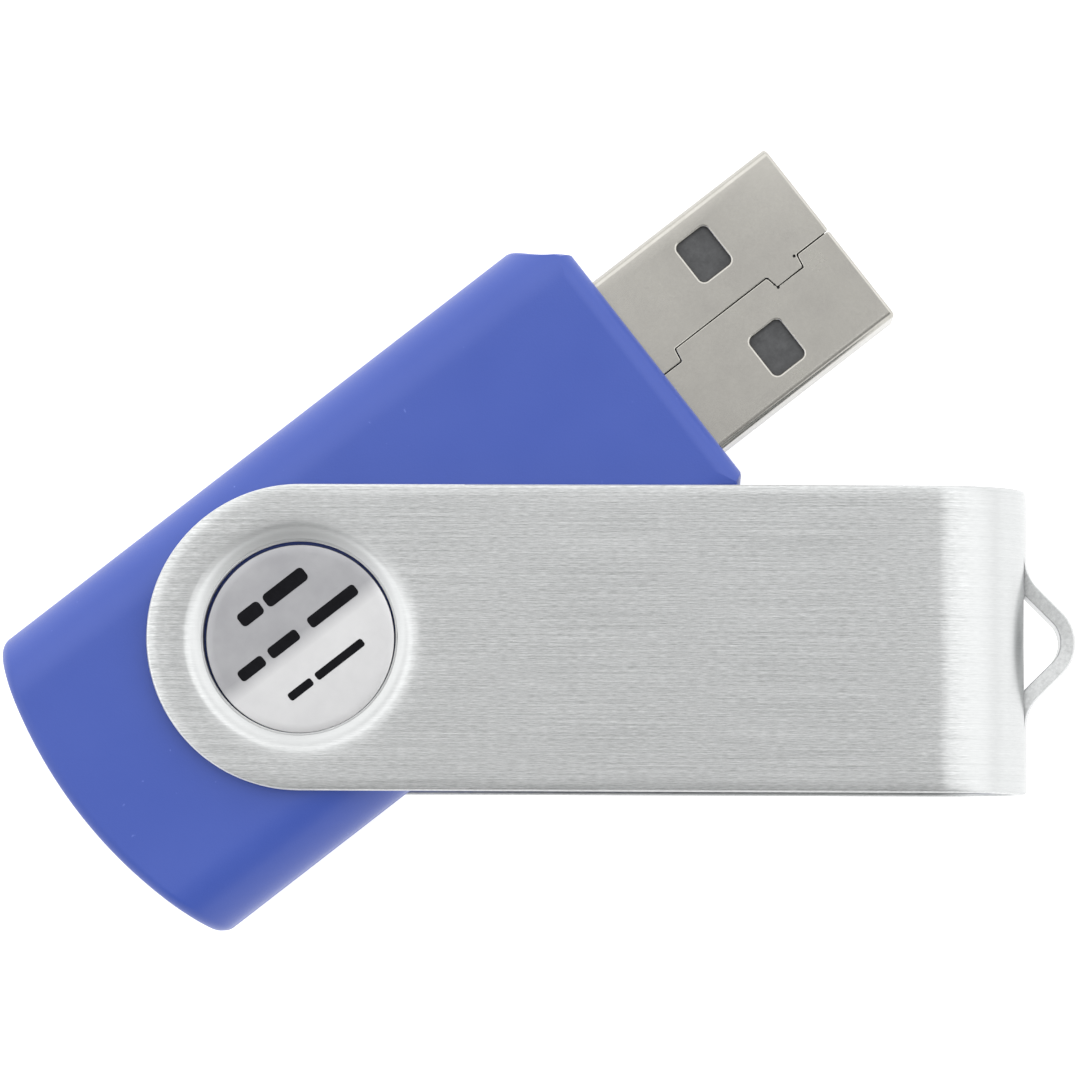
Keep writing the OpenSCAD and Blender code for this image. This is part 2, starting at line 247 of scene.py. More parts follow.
def merged(name, parts):
    """One object out of several, which are deleted."""
    bm = bmesh.new()
    for part in parts:
        bm.from_mesh(part.data)
        bpy.data.objects.remove(part)
    mesh = bpy.data.meshes.new(name)
    bm.to_mesh(mesh)
    bm.free()
    obj = bpy.data.objects.new(name, mesh)
    bpy.context.scene.collection.objects.link(obj)
    return obj


def mirrored(obj, name):
    """A copy on the other side of the drive's middle plane, with its faces turned outwards again."""
    mesh = obj.data.copy()
    mesh.transform(Matrix.Scale(-1, 4, UP))
    mesh.flip_normals()
    copy = bpy.data.objects.new(name, mesh)
    bpy.context.scene.collection.objects.link(copy)
    return copy


def shade(obj, sharp_degrees=32):
    """Smooth shading, with the edges that turn more than sharp_degrees kept crisp."""
    bm = bmesh.new()
    bm.from_mesh(obj.data)
    limit = math.radians(sharp_degrees)
    for face in bm.faces:
        face.smooth = True
    for edge in bm.edges:
        edge.smooth = edge.is_manifold and edge.calc_face_angle(0) < limit
    bm.to_mesh(obj.data)
    bm.free()
    weighted = obj.modifiers.new("normals", "WEIGHTED_NORMAL")
    weighted.keep_sharp = True


def applied(obj):
    """Replaces the object's mesh by what its modifiers make of it."""
    depsgraph = bpy.context.evaluated_depsgraph_get()
    mesh = bpy.data.meshes.new_from_object(obj.evaluated_get(depsgraph))
    obj.modifiers.clear()
    obj.data = mesh


def combine(target, tool, operation):
    """Cuts the tool out of the target, or adds it, and deletes the tool."""
    step = target.modifiers.new("combine", "BOOLEAN")
    step.operation = operation
    step.solver = "EXACT"
    step.object = tool
    applied(target)
    bpy.data.objects.remove(tool)


def lathe(name, profile, steps=96, place=None):
    """A closed body of revolution about Z; the profile runs from the axis out and back to the axis."""
    vertices = []
    rings = []
    for r, z in profile:
        count = steps if r > 0 else 1
        rings.append(range(len(vertices), len(vertices) + count))
        for i in range(count):
            turn = 2 * math.pi * i / steps
            vertices.append((r * math.cos(turn), r * math.sin(turn), z))
    faces = []
    for a, b in zip(rings, rings[1:]):
        for i in range(steps):
            j = (i + 1) % steps
            corners = [a[i % len(a)], a[j % len(a)], b[j % len(b)], b[i % len(b)]]
            faces.append(list(dict.fromkeys(corners)))
    return build(name, vertices, faces, place)


def rounded_outline(half_w, half_h, r, arc_steps=6):
    """The corners of a rounded rectangle, anticlockwise from the middle of its right side."""
    points = []
    for quarter, (sx, sy) in enumerate([(1, 1), (-1, 1), (-1, -1), (1, -1)]):
        for i in range(arc_steps + 1):
            turn = math.radians(90 * (quarter + i / arc_steps))
            points.append((sx * (half_w - r) + r * math.cos(turn), sy * (half_h - r) + r * math.sin(turn)))
    return points


def prism(name, outline, low, high, place=None):
    """A straight prism over an outline, from height low to height high."""
    n = len(outline)
    vertices = [(x, y, z) for z in (low, high) for x, y in outline]
    faces = [list(range(n))[::-1], list(range(n, 2 * n))]
    faces += [[i, (i + 1) % n, n + (i + 1) % n, n + i] for i in range(n)]
    return build(name, vertices, faces, place)


# Lays a prism's outline in the YZ plane and its height along X
ALONG_X = Matrix(((0, 0, 1, 0), (1, 0, 0, 0), (0, 1, 0, 0), (0, 0, 0, 1)))


def smooth_min(a, b, width):
    """The smaller of two numbers, with a soft change from one to the other."""
    blend = max(width - abs(a - b), 0) / width
    return min(a, b) - blend * blend * width / 4


def bevel(obj, width, weights=None, segments=3):
    """Rounds edges with a modifier: those with a weight, or all that turn more than 40 degrees."""
    step = obj.modifiers.new("rounding", "BEVEL")
    step.width = width
    step.segments = segments
    step.use_clamp_overlap = False
    step.harden_normals = True
    if weights is None:
        step.limit_method = "ANGLE"
        step.angle_limit = math.radians(40)
    else:
        step.limit_method = "WEIGHT"
        layer = obj.data.attributes.new("bevel_weight_edge", "FLOAT", "EDGE")
        for edge in obj.data.edges:
            layer.data[edge.index].value = weights.get(tuple(sorted(edge.vertices)), 0)


class Skin:
    """Points and faces of a mesh. Points at the same place are one point."""

    def __init__(self):
        self.points = []
        self.index = {}
        self.faces = []

    def point(self, *place):
        key = tuple(round(c / MM, 4) for c in place)
        if key not in self.index:
            self.index[key] = len(self.points)
            self.points.append(place)
        return self.index[key]

    def face(self, corners):
        kept = [c for i, c in enumerate(corners) if c != corners[i - 1]]
        if len(kept) > 2:
            self.faces.append(kept)

    def ladder(self, left, right):
        """Faces between two rows of the same number of points."""
        for i in range(len(left) - 1):
            self.face([left[i], left[i + 1], right[i + 1], right[i]])


def spread(low, high, steps):
    """Evenly spaced numbers from low to high, with both ends."""
    return [low + (high - low) * i / steps for i in range(steps + 1)]


# ---- Swivel cover: a flat blank, given by its middle surface, that is pressed and folded ----

LOOP_X = LOOP_REACH - LOOP_IN_R - SHEET
FLARE_X = COVER_REACH + FLARE_R
FLARE_Y = LOOP_X + (LOOP_IN_R + SHEET + FLARE_R) * math.sqrt(2) - FLARE_X
BEND_LENGTH = math.pi * BEND_MID_R
BEND_MIDDLE = BEND_X + BEND_LENGTH / 2
LEAF_END = BEND_X + BEND_LENGTH
LOOP_BAND = BEND_MID_R * math.asin(LOOP_HALF_H / BEND_MID_R)
FAN_R = 7.75 * MM
FAN_X = 9.2 * MM


def loop_path(share):
    """Middle line of the keyring loop: point and outward normal in its plane, for share -1 to 1."""
    flare_mid = FLARE_R + SHEET / 2
    tip_mid = LOOP_IN_R + SHEET / 2
    diagonal = Vector((1, 1)).normalized()
    flare_end = Vector((FLARE_X, FLARE_Y)) - flare_mid * diagonal
    tip_start = Vector((LOOP_X, 0)) + tip_mid * diagonal
    flare_length = flare_mid * math.pi / 4
    straight = (flare_end - tip_start).length
    distance = (1 - abs(share)) * (flare_length + straight + tip_mid * math.pi / 4)
    if distance < flare_length:
        turn = distance / flare_mid
        normal = Vector((math.cos(turn), math.sin(turn)))
        point = Vector((FLARE_X, FLARE_Y)) - flare_mid * normal
    elif distance < flare_length + straight:
        normal = diagonal
        point = flare_end.lerp(tip_start, (distance - flare_length) / straight)
    else:
        turn = math.pi / 4 - (distance - flare_length - straight) / tip_mid
        normal = Vector((math.cos(turn), math.sin(turn)))
        point = Vector((LOOP_X, 0)) + tip_mid * normal
    side = -1 if share < 0 else 1
    return Vector((point.x, side * point.y)), Vector((normal.x, side * normal.y))


def dimple_drop(r):
    """The dimple's depth at a radius: a smooth curve through the given points."""
    r /= MM
    if r >= DIMPLE[-1][0]:
        return 0
    i = max(k for k in range(len(DIMPLE) - 1) if DIMPLE[k][0] <= max(r, DIMPLE[0][0]))
    (r0, z0), (r1, z1) = DIMPLE[i], DIMPLE[i + 1]
    before, after = DIMPLE[max(i - 1, 0)], DIMPLE[min(i + 2, len(DIMPLE) - 1)]
    slope0 = (z1 - before[1]) / (r1 - before[0]) * (r1 - r0)
    slope1 = (after[1] - z0) / (after[0] - r0) * (r1 - r0)
    t = (r - r0) / (r1 - r0)
    smooth = t * t * (3 - 2 * t)
    curve = slope0 * t * (1 - t) ** 2 - slope1 * t * t * (1 - t)
    return (z0 + (z1 - z0) * smooth + curve) * MM


def rolled(inset):
    """How far the sheared edge has rolled over, at a distance in from the rim."""
    return ROLL_DEPTH * max(1 - inset / ROLL, 0) ** 2


def cover_point(u, v, side):
    """Where a point of the blank lies in the cover's own frame, on its outer (1) or inner (-1) side."""
    offset = side * SHEET / 2
    turn = (u - BEND_MIDDLE) / BEND_MID_R
    if abs(u - BEND_MIDDLE) < LOOP_BAND + SLIT / 2 and abs(v) < FLARE_Y - TINY:
        along, normal = loop_path(v / FLARE_Y)
        keep = LOOP_PRESSED + (1 - LOOP_PRESSED) * (v / FLARE_Y) ** 4
        lean = turn * keep
        x = along.x + normal.x * offset * math.cos(lean) - BEND_MID_R * (1 - math.cos(turn)) * keep
        z = -BEND_MID_R * math.sin(turn) - normal.x * offset * math.sin(lean)
        return Vector((x, along.y + normal.y * offset, z))
    if BEND_X < u < LEAF_END:
        r = BEND_MID_R + offset - rolled(LEAF_HALF_W - abs(v))
        return Vector((BEND_X + r * math.cos(turn), v, -r * math.sin(turn)))
    lower = u >= LEAF_END
    x = BEND_X + LEAF_END - u if lower else u
    r = math.hypot(x, v)
    inset = LEAF_HALF_W - (abs(v) if x > 0 else r)
    z = LEAF_OUT - SHEET / 2 + offset - dimple_drop(r) - rolled(inset)
    return Vector((x, v, -z if lower else z))


def u_line(inset, side, back):
    """The leaf's side edges and round end, at an inset from the rim."""
    half_w = LEAF_HALF_W - inset
    line = [(FAN_X * (1 - i / side), half_w) for i in range(side + 1)]
    turns = [math.pi / 2 + math.pi * i / back for i in range(1, back + 1)]
    line += [(half_w * math.cos(t), half_w * math.sin(t)) for t in turns]
    return line + [(FAN_X * i / side, -half_w) for i in range(1, side + 1)]


def add_leaf(blank, columns, at):
    """One leaf: rings about the hole, a border round them, and rows to the bend.

    at(x) gives the place along the blank for a distance from the hole.
    """
    side = 12
    back = 64
    inner = [v for v in columns if abs(v) < LEAF_HALF_W - ROLL + TINY]
    closing = [(FAN_X, v) for v in inner] + u_line(ROLL, side, back)[1:-1]
    around = len(closing)
    rings = spread(HOLE_R, STEEP_R, 14) + spread(STEEP_R, SHOULDER_R, 6)[1:] + [FAN_R]
    turns = [2 * math.pi * (i - (len(inner) - 1) / 2) / around for i in range(around)]
    loops = [[blank.point(at(r * math.cos(t)), r * math.sin(t)) for t in turns] for r in rings]
    loops.append([blank.point(at(x), y) for x, y in closing])
    for a, b in zip(loops, loops[1:]):
        blank.ladder(a + a[:1], b + b[:1])
    insets = spread(ROLL, 0, ROLL_STEPS)
    borders = [[blank.point(at(x), y) for x, y in u_line(inset, side, back)] for inset in insets]
    rows = [[blank.point(at(x), v) for v in columns] for x in spread(FAN_X, BEND_X, 14)]
    for strip in (borders, rows):
        for a, b in zip(strip, strip[1:]):
            blank.ladder(a, b)


def add_bend(blank, columns):
    """The bend between the leaves, slit on both sides of the strip that becomes the loop."""
    stops = spread(BEND_X, BEND_MIDDLE - LOOP_BAND - SLIT, 16)
    stops += spread(BEND_MIDDLE - LOOP_BAND, BEND_MIDDLE + LOOP_BAND, 10)
    stops += spread(BEND_MIDDLE + LOOP_BAND + SLIT, LEAF_END, 16)
    for u0, u1 in zip(stops, stops[1:]):
        slit = u1 - u0 < SLIT + TINY
        for v0, v1 in zip(columns, columns[1:]):
            if not (slit and abs(v0 + v1) / 2 < FLARE_Y):
                blank.face([blank.point(u, v) for u, v in ((u0, v0), (u1, v0), (u1, v1), (u0, v1))])


def cover_rim_weight(a, b):
    """How much of the full rounding the blank's rim gets between two of its points."""
    at_loop = all(abs(u - BEND_MIDDLE) < LOOP_BAND + 2 * SLIT and abs(v) < FLARE_Y + TINY for u, v in (a, b))
    if not at_loop:
        return 1
    across = abs(a[0] - b[0]) > TINY
    if across:
        return 0
    from_root = 1 - abs(a[1] + b[1]) / 2 / FLARE_Y
    return LOOP_ROOT_SHARE + (LOOP_TIP_SHARE - LOOP_ROOT_SHARE) * from_root


def rim_normal(blank, corners, n):
    """The direction out of the blank at a face of its sheared rim."""
    (u0, v0), (u1, v1) = [blank.points[c] for c in corners if c < n][:2]
    middle = Vector((u0 + u1, v0 + v1)) / 2
    out = Vector((v1 - v0, u0 - u1)).normalized()
    centre = Vector((min(max(middle.x, 0), BEND_X + LEAF_END), 0))
    at_hole = (middle - centre).length < SHOULDER_R and middle.length < BEND_X
    outwards = (middle - centre).dot(out) > 0
    return out if outwards != at_hole else -out


def rim_edges(blank):
    """The edges that only one face of the blank has, each the way that face runs along it."""
    uses = {}
    for face in blank.faces:
        for edge in zip(face, face[1:] + face[:1]):
            uses.setdefault(tuple(sorted(edge)), []).append(edge)
    return [edge for edge, *others in uses.values() if not others]


def mark_cover(obj, blank, skins):
    """Lays the brushed grain along the sheet, and marks what is pressed and what is sheared."""
    n = len(blank.points)
    grain = obj.data.uv_layers.new(name="grain")
    pressed = obj.data.attributes.new("pressed", "FLOAT", "POINT")
    sheared = obj.data.attributes.new("sheared", "FLOAT", "FACE")
    for polygon in obj.data.polygons:
        polygon.use_smooth = True
        on_rim = polygon.index >= skins
        sheared.data[polygon.index].value = float(on_rim)
        out = rim_normal(blank, polygon.vertices, n) if on_rim else Vector((0, 0))
        for index in polygon.loop_indices:
            vertex = obj.data.loops[index].vertex_index
            u, v = blank.points[vertex % n]
            r = math.hypot(min(u, BEND_X + LEAF_END - u), v)
            bent = min(u - BEND_X, LEAF_END - u) / BLEND
            pressed.data[vertex].value = max(min((PRESSED_R - r) / MM, 1), min(bent, 1) * BEND_SHARE, 0)
            past = SHEET if vertex >= n else 0
            grain.data[index].uv = ((u + out.x * past) / MM, (v + out.y * past) / MM)


def make_cover():
    """The whole cover: both sides of the folded blank, and the sheared rim between them."""
    inside = spread(-FLARE_Y, FLARE_Y, 40)
    outside = spread(FLARE_Y, LEAF_HALF_W - ROLL, 7)[1:]
    outside += spread(LEAF_HALF_W - ROLL, LEAF_HALF_W, ROLL_STEPS)[1:]
    columns = [-v for v in outside[::-1]] + inside + outside
    blank = Skin()
    add_leaf(blank, columns, lambda x: x)
    add_leaf(blank, columns, lambda x: BEND_X + LEAF_END - x)
    add_bend(blank, columns)

    n = len(blank.points)
    vertices = [cover_point(u, v, side) for side in (1, -1) for u, v in blank.points]
    faces = blank.faces + [[i + n for i in face[::-1]] for face in blank.faces]
    skins = len(faces)
    weights = {}
    for a, b in rim_edges(blank):
        faces.append([b, a, a + n, b + n])
        weight = cover_rim_weight(blank.points[a], blank.points[b])
        for side in (0, n):
            weights[tuple(sorted((a + side, b + side)))] = weight
    obj = build("swivel_cover_shell", vertices, faces, cover_frame)
    mark_cover(obj, blank, skins)
    bevel(obj, RIM_EDGE, weights)
    return obj


# ---- Housing halves ----


def scoop_x(y):
    """The surface of the hollow at a front corner, seen from above."""
    chord = SCOOP * math.sqrt(2)
    r = chord ** 2 / (8 * SCOOP_DEPTH) + SCOOP_DEPTH / 2
    reach = (r - SCOOP_DEPTH) / math.sqrt(2)
    inside = r ** 2 - (abs(y) - HALF_W + SCOOP / 2 - reach) ** 2
    return FRONT_X - SCOOP / 2 + reach - math.sqrt(max(inside, 0))


def front_x(y, z):
    """The surface of the front end, over the cross-section."""
    over = max(abs(z) - (HALF_T - FRONT_ROUND), 0)
    rounded = FRONT_X - FRONT_ROUND + math.sqrt(max(FRONT_ROUND ** 2 - over ** 2, 0))
    return smooth_min(rounded, scoop_x(y), SCOOP_BLEND)


def tail_x(y):
    """The surface of the tail, an arc seen from above."""
    return TAIL_X + TAIL_R - math.sqrt(TAIL_R ** 2 - y ** 2)


def half_section(inset):
    """The upper half of the cross-section, from its right side over the top, as (y, z)."""
    r = SIDE_ROUND - inset
    half_w = HALF_W - inset
    top = HALF_T - inset
    right = [(half_w - PARTING, 0)]
    right += [(half_w, z) for z in spread(PARTING, top - r, 3)]
    turns = spread(0, math.pi / 2, 14)[1:]
    right += [(half_w - r + r * math.cos(t), top - r + r * math.sin(t)) for t in turns]
    crown = [(y, top) for y in spread(half_w - r, r - half_w, 24)[1:-1]]
    return right + crown + [(-y, z) for y, z in right[::-1]]


def fallen(inset, r):
    """How far a rim of radius r has fallen back at an inset from the outline."""
    short = max(r - inset, 0)
    return r - math.sqrt(r ** 2 - short ** 2)


def end_rows(surface, r, back, steps, upright):
    """Rows that close one end: a rim of radius r, then the section squeezed down to the parting line."""
    rows = []
    for turn in spread(0, math.pi / 2, steps):
        inset = r * (1 - math.cos(turn))
        section = half_section(inset)
        rims = upright(section, inset)
        rows.append([(surface(y, z) + back * rim, y, z) for (y, z), rim in zip(section, rims)])
    n = len(section)
    half_w = section[1][0]
    for share in spread(0, 1, 14)[1:]:
        row = []
        for k, (y, z) in enumerate(section[1:-1]):
            even = half_w * (1 - 2 * k / (n - 3))
            y += (even - y) * share
            z += (PARTING - z) * share
            row.append((surface(y, z), y, z))
        rows.append([rows[0][0]] + row + [rows[0][-1]])
    return rows


def make_half_block(name):
    """The closed outer form of the upper half."""
    skin = Skin()

    def all_round(section, inset):
        return [fallen(inset, TAIL_ROUND)] * len(section)

    def sides_only(section, inset):
        """The front's top edge is round already, so only what stands upright gets a rim."""
        rims = []
        for i in range(len(section)):
            before, after = section[max(i - 1, 0)], section[min(i + 1, len(section) - 1)]
            dy, dz = after[0] - before[0], after[1] - before[1]
            rims.append(fallen(inset, CORNER_ROUND) * dz ** 2 / (dy ** 2 + dz ** 2))
        return rims

    tail = end_rows(lambda y, z: tail_x(y), TAIL_ROUND, 1, 7, all_round)
    front = end_rows(front_x, FRONT_ROUND, -1, 14, sides_only)
    middle = [
        [tuple(p + (q - p) * share for p, q in zip(a, b)) for a, b in zip(tail[0], front[0])]
        for share in spread(0, 1, 10)[1:-1]
    ]
    rows = tail[::-1] + middle + front
    rows = [[skin.point(*p) for p in row] for row in rows]
    for a, b in zip(rows, rows[1:]):
        skin.ladder(a, b)
    tail_end = [skin.point(skin.points[p][0] + PARTING, skin.points[p][1], 0) for p in rows[0][2:-2]]
    front_end = [skin.point(skin.points[p][0] - PARTING, skin.points[p][1], 0) for p in rows[-1][2:-2]]
    for edge, sole in ((rows[0], tail_end), (rows[-1], front_end)):
        skin.ladder(edge[1:-1], [edge[0]] + sole + [edge[-1]])
    right = [row[0] for row in rows]
    left = [row[-1] for row in rows]
    skin.face(right + front_end + left[::-1] + tail_end[::-1])
    return build(name, skin.points, skin.faces)


def cavity(name):
    """The room inside both halves, cut off at the front corners to leave a wall behind the hollows."""
    half_w = HALF_W - SIDE_WALL
    back = tail_x(0) - WALL
    section = rounded_outline(half_w, HALF_T - WALL, CAVITY_ROUND)
    room = prism(name, section, back, FRONT_X - WALL, ALONG_X)
    inner_r = TAIL_R - WALL
    spans = math.asin(half_w / inner_r)
    turns = spread(spans, -spans, 40)
    plan = [(TAIL_X + TAIL_R - inner_r * math.cos(t), inner_r * math.sin(t)) for t in turns]
    plan += [
        (FRONT_X - WALL - SCOOP, -half_w),
        (FRONT_X - WALL, SCOOP - half_w),
        (FRONT_X - WALL, half_w - SCOOP),
        (FRONT_X - WALL - SCOOP, half_w),
    ]
    combine(room, prism("plan", plan, -HALF_T, HALF_T), "INTERSECT")
    return room


def box(name, low, high):
    """A block between two opposite corners."""
    (x0, y0, z0), (x1, y1, z1) = low, high
    return prism(name, [(x0, y0), (x1, y0), (x1, y1), (x0, y1)], z0, z1)


def cylinder(name, place, r, low, high, steps=32):
    """An upright cylinder about a place in plan."""
    x, y = place
    turns = [2 * math.pi * i / steps for i in range(steps)]
    return prism(name, [(x + r * math.cos(t), y + r * math.sin(t)) for t in turns], low, high)


def inner_ribs():
    """What stands inside the upper half: plug rib, board rests, pin bosses and the web at the swivel."""
    top = HALF_T - WALL + RIB_SINK
    board_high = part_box("circuit_board")[1]
    x = FRONT_X - PLUG_RIB_BACK
    low = (x, -PLUG_RIB_HALF_W, plug_high.z + PLUG_GAP)
    parts = [box("rib", low, (x + PLUG_RIB_T, PLUG_RIB_HALF_W, top))]
    rest_in = board_high.y - REST_LAP
    rest_out = HALF_W - REST_WALL_GAP
    rest_low = board_high.z + REST_GAP
    rest_high = top - REST_SHORT
    for x in REST_PLACES:
        for y0, y1 in ((rest_in, rest_out), (-rest_out, -rest_in)):
            parts.append(box("rest", (x - REST_HALF_L, y0, rest_low), (x + REST_HALF_L, y1, rest_high)))
    parts += [cylinder("boss", place, PIN_BOSS_R, 0, top) for place in PIN_PLACES]
    parts.append(cylinder("web", pivot.xy, WEB_R, WEB_IN, top, 96))
    return merged("ribs", parts)


def groove_and_mouth():
    """What is cut from the upper half: the groove that the dimple turns in, and the plug's opening."""
    over = HALF_T + MM
    slope = (GROOVE_MOUTH_R - GROOVE_R) / (HALF_T - GROOVE_FLOOR)
    profile = [
        (0, BOSS_TOP),
        (BOSS_R - BOSS_CHAMFER, BOSS_TOP),
        (BOSS_R, BOSS_TOP - BOSS_CHAMFER),
        (BOSS_R, GROOVE_FLOOR),
        (GROOVE_R, GROOVE_FLOOR),
        (GROOVE_MOUTH_R - GROOVE_CHAMFER * slope, HALF_T - GROOVE_CHAMFER),
        (GROOVE_MOUTH_R + GROOVE_FLARE, HALF_T),
        (GROOVE_MOUTH_R + GROOVE_FLARE, over),
        (0, over),
    ]
    groove = lathe("groove", profile, 128, Matrix.Translation(pivot))
    opening = rounded_outline(plug_high.y + PLUG_GAP, plug_high.z + PLUG_GAP, PLUG_CORNER)
    return merged("cuts", [groove, prism("opening", opening, FRONT_X - WALL - MM, FRONT_X + MM, ALONG_X)])


def make_housing():
    """Both halves; the upper one has the pins and the lower one their sockets."""
    half = make_half_block("top_housing_shell")
    combine(half, cavity("room"), "DIFFERENCE")
    combine(half, inner_ribs(), "UNION")
    combine(half, groove_and_mouth(), "DIFFERENCE")
    lower = mirrored(half, "bottom_housing_shell")
    pins = [cylinder("pin", place, PIN_R, *PIN_HEIGHTS) for place in PIN_PLACES]
    sockets = [cylinder("socket", place, SOCKET_R, *SOCKET_HEIGHTS) for place in PIN_PLACES]
    combine(half, merged("pins", pins), "UNION")
    combine(lower, merged("sockets", sockets), "DIFFERENCE")
    return half, lower


# ---- Plug ----


def s_curve(x0, x1, y0, y1, steps=8):
    """Points of a soft jog from (x0, y0) to (x1, y1), without the first."""
    shares = spread(0, 1, steps)[1:]
    return [(x0 + (x1 - x0) * s, y0 + (y1 - y0) * s * s * (3 - 2 * s)) for s in shares]


def seam_line():
    """The seam in the plug's upper face, where the sheet's edges interlock, from the mouth to the back."""
    tip = plug_high.x
    line = [(tip + MM, SEAM_HIGH)]
    y = SEAM_HIGH
    for back in SEAM_JOGS:
        other = SEAM_LOW if y == SEAM_HIGH else SEAM_HIGH
        line.append((tip - back + JOG_LEAN, y))
        line += s_curve(tip - back + JOG_LEAN, tip - back - JOG_LEAN, y, other)
        y = other
    return line + [(plug_low.x - MM, y)]


def ribbon(name, line, width, low, high):
    """A strip of even width along a line, from height low to height high."""
    left = []
    right = []
    for i, (x, y) in enumerate(line):
        before, after = line[max(i - 1, 0)], line[min(i + 1, len(line) - 1)]
        along = Vector((after[0] - before[0], after[1] - before[1])).normalized()
        dx, dy = along.x * width / 2, along.y * width / 2
        left.append((x - dy, y + dx))
        right.append((x + dy, y - dx))
    return prism(name, left + right[::-1], low, high)


def plug_weight(a, b):
    """How much of the full rounding a sharp edge gets: most round the mouth, none inside the housing."""
    if max(a.x, b.x) < FRONT_X - MM:
        return 0
    mouth = plug_high.x - TINY
    if a.x > mouth and b.x > mouth:
        wide = max(abs(a.y), abs(b.y)) > plug_high.y - SHELL + TINY
        high = max(abs(a.z), abs(b.z)) > plug_high.z - SHELL + TINY
        return 1 if wide or high else INSIDE_SHARE
    at_relief = any(math.hypot(a.x - plug_high.x + x, a.y - y) < 2 * RELIEF_R for x, y in RELIEFS)
    at_seam = min(a.z, b.z) > 0 and max(abs(a.y), abs(b.y)) < SEAM_ZONE
    if at_seam:
        return 0 if at_relief else INSIDE_SHARE
    outside = min(abs(a.z), abs(b.z)) > plug_high.z - TINY
    return OUTSIDE_SHARE if outside else INSIDE_SHARE


def plug_tube():
    """The plug's shell before its windows and seam: a tube with a leg on each side."""
    back = plug_low.x + LEG_LENGTH
    half_w = plug_high.y
    half_h = plug_high.z
    outline = rounded_outline(half_w, half_h, PLUG_CORNER, 8)
    tube = prism("plug_shell_body", outline, back, plug_high.x, ALONG_X)
    legs = [
        box("leg", (plug_low.x, y0, -LEG_HALF_H), (back + MM, y1, LEG_HALF_H))
        for y0, y1 in ((half_w - SHELL, half_w), (-half_w, SHELL - half_w))
    ]
    combine(tube, merged("legs", legs), "UNION")
    inner = rounded_outline(half_w - SHELL, half_h - SHELL, PLUG_CORNER - SHELL, 8)
    combine(tube, prism("inside", inner, plug_low.x - MM, plug_high.x + MM, ALONG_X), "DIFFERENCE")
    return tube


def round_plug(shell):
    """Rounds the sharp edges, each by its own share, and keeps those without a share crisp."""
    weights = {}
    bm = bmesh.new()
    bm.from_mesh(shell.data)
    for edge in bm.edges:
        a, b = edge.verts
        if edge.calc_face_angle(0) > math.radians(50):
            weights[tuple(sorted((a.index, b.index)))] = plug_weight(a.co, b.co)
    bm.free()
    for polygon in shell.data.polygons:
        polygon.use_smooth = True
    for edge in shell.data.edges:
        edge.use_edge_sharp = weights.get(tuple(sorted(edge.vertices))) == 0
    bevel(shell, PLUG_EDGE, weights)


def make_plug():
    """The plug's shell, with latch windows in both broad sides and the seam in the upper one."""
    shell = plug_tube()
    tip = plug_high.x
    window = rounded_outline(WINDOW_HALF_L, WINDOW_HALF_W, WINDOW_ROUND, 8)
    cuts = [
        prism("window", [(x + tip - WINDOW_BACK, y + side * WINDOW_Y) for x, y in window], -THROUGH, THROUGH)
        for side in (-1, 1)
    ]
    cuts.append(ribbon("seam", seam_line(), SEAM, 0, THROUGH))
    combine(shell, merged("cuts", cuts), "DIFFERENCE")
    holes = [cylinder("relief", (tip - x, y), RELIEF_R, 0, THROUGH, 12) for x, y in RELIEFS]
    combine(shell, merged("reliefs", holes), "DIFFERENCE")
    round_plug(shell)
    return shell


# ---- Discs ----


def make_disc(name, flip):
    """A thin disc with a soft edge and a barely domed face."""
    r = (disc_high.x - disc_low.x) / 2
    top = disc_high.z
    flat_r = r - DISC_EDGE
    profile = [(0, disc_low.z), (r, disc_low.z)]
    for t in spread(0, math.pi / 2, 4):
        profile.append((flat_r + DISC_EDGE * math.cos(t), top - 2 * DISC_EDGE + DISC_EDGE * math.sin(t)))
    profile += [(flat_r * s, top - DISC_EDGE * s * s) for s in spread(1, 0, 12)[1:]]
    centre = (disc_low + disc_high) / 2
    place = Matrix.Translation((centre.x, centre.y, 0))
    if flip:
        place = Matrix.Scale(-1, 4, UP) @ place
    return lathe(name, profile, 128, place)


def make_print(name):
    """The disc's print, as plain bars in three rows along the drive: a stand-in for its marks."""
    centre = (disc_low + disc_high) / 2
    low = disc_high.z - PRINT_SINK
    high = disc_high.z + PRINT_PROUD
    parts = []
    for y, half_h, bars in PRINT_ROWS:
        for x0, x1 in bars:
            outline = rounded_outline((x1 - x0) / 2, half_h, BAR_ROUND * half_h, 4)
            middle = (x0 + x1) / 2
            points = [(centre.x + (middle + px) * MM, centre.y + (y + py) * MM) for px, py in outline]
            parts.append(prism("bar", points, low, high))
    return merged(name, parts)


# ---- Materials ----


class NodeTree:
    """The nodes of a material or a world, with the kinds of node that both need."""

    def __init__(self, owner):
        owner.use_nodes = True
        self.nodes = owner.node_tree.nodes
        self.links = owner.node_tree.links

    def link(self, output, target):
        self.links.new(output, target)

    def map_range(self, value, ends, levels, interpolation):
        """The value, stretched from its own range to another and held there."""
        node = self.nodes.new("ShaderNodeMapRange")
        node.interpolation_type = interpolation
        for name, number in zip(("From Min", "From Max", "To Min", "To Max"), (*ends, *levels)):
            node.inputs[name].default_value = number
        self.link(value, node.inputs["Value"])
        return node.outputs["Result"]

    def math(self, operation, a, b):
        """The result of a sum, for numbers or sockets."""
        node = self.nodes.new("ShaderNodeMath")
        node.operation = operation
        for socket, value in zip(node.inputs, (a, b)):
            if isinstance(value, (int, float)):
                socket.default_value = value
            else:
                self.link(value, socket)
        return node.outputs["Value"]


